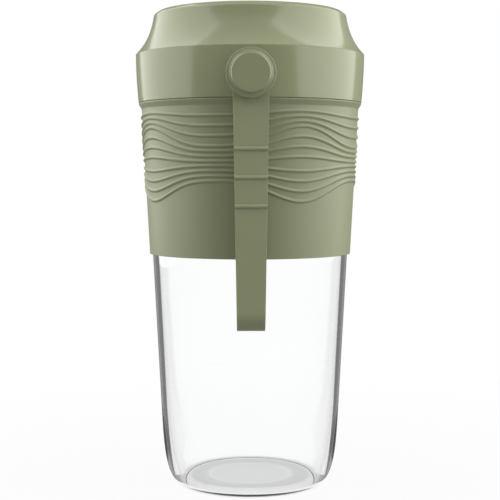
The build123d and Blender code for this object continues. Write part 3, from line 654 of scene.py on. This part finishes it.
def makeStrap():
    size = dict(thickness=2.4, bend=5.2, jointDrop=12.3, topWidth=13.3, bottomWidth=10.2, eyeRadius=8.6, eyeHole=5.8,
                apexRound=0.6, neckTop=6.3, edge=0.15, ribRadius=0.8, ribSink=0.15, ribDrop=27.1, ribPitch=10.35,
                ribs=3, ribEdge=0.2, eyeShrink=0.03, behindBezel=2.8, bendSteps=32, apexSteps=8, corner=60)
    half = size["thickness"] / 2
    low = strapLow.z
    front = -bezelLow.y - size["behindBezel"]
    mid = front - half
    bendZ = low + size["bend"] + half
    jointZ = studZ - size["jointDrop"]
    slope = size["bend"] / (jointZ - bendZ)
    apexZ = jointZ - (half + size["apexRound"]) / slope

    def halfWidth(z):
        share = min(max((z - low) / (studZ - low), 0), 1)
        return (size["bottomWidth"] + (size["topWidth"] - size["bottomWidth"]) * share) / 2

    def drop(bigRadius, bigZ, smallRadius, smallZ, neckTop=None):
        # side view: a round bend and two straight strands that meet above it
        lean = (bigRadius - smallRadius) / (smallZ - bigZ)
        points = []
        for step in range(size["bendSteps"] + 1):
            angle = pi - lean + (pi + 2 * lean) * step / size["bendSteps"]
            points.append((bigRadius * cos(angle), bigZ + bigRadius * sin(angle)))
        if neckTop:
            points += [(smallRadius, smallZ), (smallRadius, neckTop), (-smallRadius, neckTop), (-smallRadius, smallZ)]
        else:
            for step in range(size["apexSteps"] + 1):
                angle = lean + (pi - 2 * lean) * step / size["apexSteps"]
                points.append((smallRadius * cos(angle), smallZ + smallRadius * sin(angle)))
        return points

    bm = bmesh.new()
    neckTop = studZ - size["neckTop"]
    for points in (drop(size["bend"] + half, bendZ, half, jointZ, neckTop),
                   drop(size["bend"] - half, bendZ, size["apexRound"], apexZ)):
        verts = [bm.verts.new((-1, y - mid, z)) for y, z in points]
        for a, b in zip(verts, verts[1:] + verts[:1]):
            bm.edges.new((a, b))
    bmesh.ops.triangle_fill(bm, use_beauty=True, edges=bm.edges)
    made = bmesh.ops.extrude_face_region(bm, geom=bm.faces[:])["geom"]
    bmesh.ops.translate(bm, vec=(2, 0, 0), verts=[v for v in made if isinstance(v, bmesh.types.BMVert)])
    for vert in bm.verts:
        vert.co.x *= halfWidth(vert.co.z)
    bmesh.ops.recalc_face_normals(bm, faces=bm.faces)
    corners = [e for e in bm.edges if e.is_manifold and e.calc_face_angle() > radians(size["corner"])]
    bmesh.ops.bevel(bm, geom=corners, offset=size["edge"], offset_type="OFFSET", segments=3, profile=0.5,
                    affect="EDGES", material=-1, clamp_overlap=True)

    # eye that turns on the stud
    eyeBack, eyeFront = mid - half + size["eyeShrink"], front - size["eyeShrink"]
    eye = lathe([(size["eyeHole"], eyeBack, 0.3), (size["eyeRadius"], eyeBack, 0.3),
                 (size["eyeRadius"], eyeFront, 0.3), (size["eyeHole"], eyeFront, 0.3)], 96)
    bmesh.ops.transform(eye, matrix=onStud, verts=eye.verts)
    addTo(bm, eye)

    # raised bars across the front strand
    for number in range(size["ribs"]):
        z = studZ - size["ribDrop"] - size["ribPitch"] * number
        reach = mid + (jointZ - z) * slope + half * hypot(1, slope) - size["ribSink"]
        bar = bmesh.new()
        place = Matrix.Translation((0, -reach, z)) @ Matrix.Rotation(pi / 2, 4, "Y")
        bmesh.ops.create_cone(bar, cap_ends=True, segments=32, radius1=size["ribRadius"], radius2=size["ribRadius"],
                              depth=2 * halfWidth(z), matrix=place)
        ends = [e for e in bar.edges if e.calc_face_angle() > radians(size["corner"])]
        bmesh.ops.bevel(bar, geom=ends, offset=size["ribEdge"], offset_type="OFFSET", segments=2, profile=0.5,
                        affect="EDGES", material=-1)
        addTo(bm, bar)
    finishPiece("carryStrap", bm, strapSilicone, "strap", ["carry_strap"])


# Soft pieces inside

def makeCupSeal():
    size = dict(width=3.0, bead=0.45, land=0.5, crest=1.1)
    inner, outer = sealHigh.x - size["width"], sealHigh.x
    low, high = sealLow.z, sealHigh.z
    dip = high - size["bead"]
    bm = lathe([(inner, low, 0.4), (outer, low, 0.4), (outer, dip, 0.2), (outer - size["land"], high, 0.3),
                (outer - size["crest"], high, 0.3), ((inner + outer) / 2, dip, 0.3), (inner + size["crest"], high, 0.3),
                (inner + size["land"], high, 0.3), (inner, dip, 0.2)], 180)
    finishPiece("cupSeal", bm, sealSilicone, "seal", ["cup_seal"])


def makeShaftSeal():
    # lip ring: a groove on its upper side leaves the lip free to press on the shaft
    size = dict(bore=2.55, lip=0.9, lipRise=0.5, groove=1.6, wall=1.2)
    low, high = (corner.z for corner in boxMm("shaft_seal"))
    outer = boxMm("shaft_seal")[1].x
    bottom = high - size["groove"]
    bm = lathe([(size["bore"], low + size["lipRise"], 0.2), (size["bore"] + size["lip"], low, 0.3), (outer, low, 0.35),
                (outer, high, 0.25), (outer - size["wall"], high, 0.2), (outer - size["wall"], bottom, 0.4),
                (size["bore"] + size["lip"], bottom, 0.4), (size["bore"] + size["lip"], high, 0.2),
                (size["bore"], high, 0.2)], 96)
    finishPiece("shaftSeal", bm, sealSilicone, "head", ["shaft_seal"])


def cadCopy(node):
    # the solid's faces in millimetres, joined up so that its edges can be worked
    bm = bmesh.new()
    bm.from_mesh(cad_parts[node].data)
    bmesh.ops.scale(bm, vec=(1 / mm,) * 3, verts=bm.verts)
    bmesh.ops.remove_doubles(bm, verts=bm.verts, dist=weld)
    bmesh.ops.dissolve_limit(bm, angle_limit=radians(0.5), verts=bm.verts, edges=bm.edges)
    return bm


def makePortCover():
    size = dict(edge=0.18, corner=50)
    bm = cadCopy("port_cover")
    corners = [e for e in bm.edges if e.is_manifold and e.calc_face_angle() > radians(size["corner"])]
    bmesh.ops.bevel(bm, geom=corners, offset=size["edge"], offset_type="OFFSET", segments=2, profile=0.5,
                    affect="EDGES", material=-1, clamp_overlap=True)
    finishPiece("portCover", bm, strapSilicone, "cover", ["port_cover"])


def makeLeads():
    size = dict(radius=0.8, roundness=4)
    low, high = boxMm("motor_leads")
    turnY = boxMm("motor_can")[0].y
    bm = bmesh.new()
    for x in (low.x + size["radius"], high.x - size["radius"]):
        route = [(x, high.y, low.z + size["radius"]), (x, turnY, low.z + size["radius"]),
                 (x, turnY, high.z - size["radius"]), (x, low.y, high.z - size["radius"])]
        line = bpy.data.curves.new("leadRoute", "CURVE")
        line.dimensions = "3D"
        line.bevel_depth = size["radius"]
        line.bevel_resolution = size["roundness"]
        line.use_fill_caps = True
        spline = line.splines.new("NURBS")
        spline.points.add(len(route) - 1)
        for point, place in zip(spline.points, route):
            point.co = (*place, 1)
        spline.order_u = 3
        spline.use_endpoint_u = True
        holder = bpy.data.objects.new("leadRoute", line)
        mesh = bpy.data.meshes.new_from_object(holder)
        bm.from_mesh(mesh)
        bpy.data.objects.remove(holder)
        bpy.data.curves.remove(line)
        bpy.data.meshes.remove(mesh)
    bmesh.ops.remove_doubles(bm, verts=bm.verts, dist=weld)
    bmesh.ops.recalc_face_normals(bm, faces=bm.faces)
    finishPiece("motorLeads", bm, leadSleeve, "head", ["motor_leads"])


# Blades with ground edges

def makeBlade(name, node, material):
    size = dict(grind=0.75, flat=7.5, shortest=5.0, corner=60)
    bm = cadCopy(node)
    edges = []
    for edge in bm.edges:
        inward = min(hypot(vert.co.x, vert.co.y) for vert in edge.verts)
        outside = inward > size["flat"] and edge.calc_length() > size["shortest"]
        if outside and edge.is_manifold and edge.calc_face_angle() > radians(size["corner"]):
            edges.append(edge)
    bmesh.ops.bevel(bm, geom=edges, offset=size["grind"] / 2, offset_type="OFFSET", segments=1, profile=0.5,
                    affect="EDGES", material=-1, clamp_overlap=True)
    finishPiece(name, bm, material, "blades", [node], sharp=25)


def dress(material, *names):
    for name in names:
        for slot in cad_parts[name].material_slots:
            slot.material = material


makeCup()
makeSleeve()
makeBand()
makeCap()
makeBezel()
makeButton()
makeStrap()
makeCupSeal()
makeShaftSeal()
makePortCover()
makeLeads()
makeBlade("upperBlade", "upper_blade", upperGround)
makeBlade("lowerBlade", "lower_blade", lowerGround)

dress(innerPlastic, "motor_deck", "upper_frame", "bezel_nut", "motor_end_cap")
dress(turnedSteel, "drive_shaft", "blade_hub", "blade_nut")
dress(platedSteel, "motor_can", "rotor", "deck_bearing", "button_clip", "frame_screws", "housing_screws",
      "charge_screws", "port_cover_pin")
dress(magnetFerrite, "motor_magnets", "motor_brushes")
dress(bushBronze, "motor_bush", "motor_terminals")
dress(cellWrap, "battery_cell_left", "battery_cell_right")
dress(nickelStrip, "battery_links", "usb_socket")
dress(boardLaminate, "control_board", "charge_board")
dress(chipBlack, "board_chips", "tact_switch", "switch_plunger")
print("solids dressed")


# Studio

studio = dict(distance=496.0, eyeHeight=123.4, pixelSize=0.3988, imageSize=500, eyeRow=173.4, swing=0.45,
              sensor=36.0, lampAim=0.11)
lamps = dict(
    leftSoftbox=dict(azimuth=-98, elevation=27, distance=0.55, width=1.0, height=0.87, radiance=2.02),
    rightSoftbox=dict(azimuth=85, elevation=27, distance=0.55, width=1.0, height=0.87, radiance=2.14),
    topSoftbox=dict(azimuth=0, elevation=75, distance=0.7, width=0.9, height=0.9, radiance=0.46),
)


def makeCamera():
    lens = bpy.data.cameras.new("photoCamera")
    lens.sensor_width = studio["sensor"]
    lens.lens = studio["sensor"] * studio["distance"] / (studio["imageSize"] * studio["pixelSize"])
    camera = bpy.data.objects.new("photoCamera", lens)
    swing = radians(studio["swing"])
    reach = studio["distance"] * mm
    pitch = atan2((studio["imageSize"] / 2 - studio["eyeRow"]) * studio["pixelSize"], studio["distance"])
    camera.location = (-reach * sin(swing), -reach * cos(swing), studio["eyeHeight"] * mm)
    camera.rotation_euler = (pi / 2 - pitch, 0, -swing)
    bpy.context.scene.collection.objects.link(camera)
    bpy.context.scene.camera = camera


def makeSoftbox(name, azimuth, elevation, distance, width, height, radiance):
    # azimuth runs from the camera's side round to +X
    lamp = bpy.data.lights.new(name, "AREA")
    lamp.shape = "RECTANGLE"
    lamp.size, lamp.size_y = width, height
    lamp.energy = radiance * pi * width * height
    box = bpy.data.objects.new(name, lamp)
    around, up = radians(azimuth), radians(elevation)
    aim = Vector((0, 0, studio["lampAim"]))
    outward = Vector((sin(around) * cos(up), -cos(around) * cos(up), sin(up)))
    box.location = aim + outward * distance
    box.rotation_euler = outward.to_track_quat("Z", "Y").to_euler()
    box.visible_camera = False
    box.visible_transmission = False
    bpy.context.scene.collection.objects.link(box)


def makeTent():
    # dark surround all round, seen only in mirror images, on the shell and within the cup's wall; it glows grey by
    # angle, a painted reflection: the dark reflections on the shell and the dark bands in the cup's wall
    surround = dict(near=31.0, reach=1500.0, high=1400.0, hole=1.0, lift=0.5, front=0.05, back=0.15, behind=0.3,
                 cupSide=36.0, turns=60)
    fade = dict(shell=(60, 110), behind=(14, 24), wall=(37, 41))  # degrees, from the back towards a side
    bm = bmesh.new()
    profile = [(surround["near"], surround["lift"]), (surround["reach"], surround["lift"]), (surround["reach"], surround["high"]),
               (surround["hole"], surround["high"])]
    verts = [bm.verts.new((reach, 0, z)) for reach, z in profile]
    for a, b in zip(verts, verts[1:]):
        bm.edges.new((a, b))
    spinRound(bm, surround["turns"])
    bmesh.ops.scale(bm, vec=(mm, mm, mm), verts=bm.verts)
    mesh = bpy.data.meshes.new("darkTent")
    bm.to_mesh(mesh)
    bm.free()
    material, start = newMaterial("darkTent")
    place = objectPlace(start)
    across = start.node("ShaderNodeSeparateXYZ", None, {0: place})
    deep = start.node("ShaderNodeSeparateXYZ", None, {0: place}, out=1)
    aside = start.math("ABSOLUTE", across, 0)
    angle = start.math("ARCTAN2", aside, deep)
    wallAngle = start.math("ARCTAN2", aside - surround["cupSide"] * mm, deep)  # as the cup's wall sees it

    def fading(value, first, last):
        return start.node("ShaderNodeMapRange", {"interpolation_type": "SMOOTHSTEP"},
                          {"Value": value, "From Min": radians(first), "From Max": radians(last), "To Min": 1.0,
                           "To Max": 0.0})

    path = start.tree.nodes.new("ShaderNodeLightPath")
    mirrored = Wire(start.tree, path.outputs["Glossy Depth"]) > 0.5
    through = Wire(start.tree, path.outputs["Transmission Depth"]) > 0.5
    # painted reflection: grey the shell mirrors, darker towards the front
    shellReflectionGrey = fading(angle, *fade["shell"]) * surround["back"] + surround["front"]
    # painted dark bands in the cup's wall: grey seen through the wall only near its sides, white elsewhere
    behind = fading(wallAngle, *fade["behind"]) * surround["behind"] + surround["back"] + surround["front"]
    aroundCup = fading(wallAngle, *fade["wall"]).blend((1, 1, 1, 1), behind)
    grey = through.blend(shellReflectionGrey, aroundCup)
    glow = start.node("ShaderNodeEmission", None, {"Color": grey})
    clear = start.node("ShaderNodeBsdfTransparent")
    mixed = start.node("ShaderNodeMixShader", None, {0: mirrored, 1: clear, 2: glow})
    start.node("ShaderNodeOutputMaterial", None, {"Surface": mixed})
    mesh.materials.append(material)
    tent = bpy.data.objects.new("darkTent", mesh)
    tent.visible_camera = False
    tent.visible_diffuse = False
    tent.visible_shadow = False
    bpy.context.scene.collection.objects.link(tent)


def sightRays(start):
    # 1 where the camera looks, straight, mirrored or through the cup
    path = start.tree.nodes.new("ShaderNodeLightPath")
    rays = [Wire(start.tree, path.outputs[name])
            for name in ("Is Camera Ray", "Is Glossy Ray", "Is Transmission Ray")]
    return (rays[0] + rays[1] + rays[2]) > 0.5


def makeWorld():
    light = dict(fill=0.06)
    world = bpy.data.worlds.new("studio")
    world.use_nodes = True
    world.node_tree.nodes.clear()
    start = Wire(world.node_tree)
    seen = sightRays(start)
    colour = seen.blend((light["fill"],) * 3 + (1,), (1, 1, 1, 1))
    back = start.node("ShaderNodeBackground", None, {"Color": colour, "Strength": 1.0})
    start.node("ShaderNodeOutputWorld", None, {"Surface": back})
    bpy.context.scene.world = world


def makeFloor():
    # white further out; near the object the matt floor shows through, with its real shadow, in rings painted by
    # distance: a painted contact shadow round the foot and painted shade and light under the base
    ground = dict(reach=4.0, span=0.3, grain=40, dark=tone(166, 166, 166), light=tone(174, 174, 174))
    # white share by the distance from the cup's axis, and under its base by that from a point further back: a painted
    # grey disc with a painted lighter centre and a painted bright ring, seen through the base
    # painted contact shadow: a darker ring just round the edge of the foot
    outside = ((0.0, 1.0), (26.0, 1.0), (26.5, 0.62), (27.7, 0.62), (28.5, 0.985), (300.0, 1.0))
    # painted shade under the base, lighter in the middle, with a painted bright ring at about 16 to 17 mm
    underBaseShadeAndLight = ((0.0, 0.83), (15.6, 0.8), (16.3, 0.92), (17.0, 0.92), (17.8, 0.69), (24.0, 0.66), (25.2, 0.97),
               (300.0, 1.0))
    # the painted shade under the base is centred 4 mm further back and squeezed front to back
    middle = dict(back=4.0, stretch=1.2)
    bm = bmesh.new()
    bmesh.ops.create_grid(bm, x_segments=1, y_segments=1, size=ground["reach"])
    mesh = bpy.data.meshes.new("studioFloor")
    bm.to_mesh(mesh)
    bm.free()
    material, start = newMaterial("studioFloor")
    place = objectPlace(start)
    grain = place.noise(ground["grain"], 3)
    shifted = start.node("ShaderNodeVectorMath", {"operation": "SUBTRACT"}, {0: place, 1: (0, middle["back"] * mm, 0)})
    flattened = start.node("ShaderNodeVectorMath", {"operation": "MULTIPLY"},
                           {0: shifted, 1: (1, middle["stretch"], 1)})
    whites = []
    for spot, shares in ((place, outside), (flattened, underBaseShadeAndLight)):
        away = start.node("ShaderNodeVectorMath", {"operation": "LENGTH"}, {0: spot}, out=1)
        stops = [(reach * mm / ground["span"], (share, share, share, 1)) for reach, share in shares]
        whites.append(start.node("ShaderNodeValToRGB", {"stops": stops}, {0: away * (1 / ground["span"])}))
    white = whites[0] * whites[1]
    matt = start.node("ShaderNodeBsdfDiffuse", None, {"Color": grain.blend(ground["dark"], ground["light"])})
    glow = start.node("ShaderNodeEmission", None, {"Color": (1, 1, 1, 1)})
    mixed = start.node("ShaderNodeMixShader", None, {0: sightRays(start) * white, 1: matt, 2: glow})
    start.node("ShaderNodeOutputMaterial", None, {"Surface": mixed})
    mesh.materials.append(material)
    floor = bpy.data.objects.new("studioFloor", mesh)
    bpy.context.scene.collection.objects.link(floor)


makeCamera()
for name, lamp in lamps.items():
    makeSoftbox(name, **lamp)
makeTent()
makeWorld()
makeFloor()
bpy.context.scene.view_settings.view_transform = "Standard"
print("studio set")
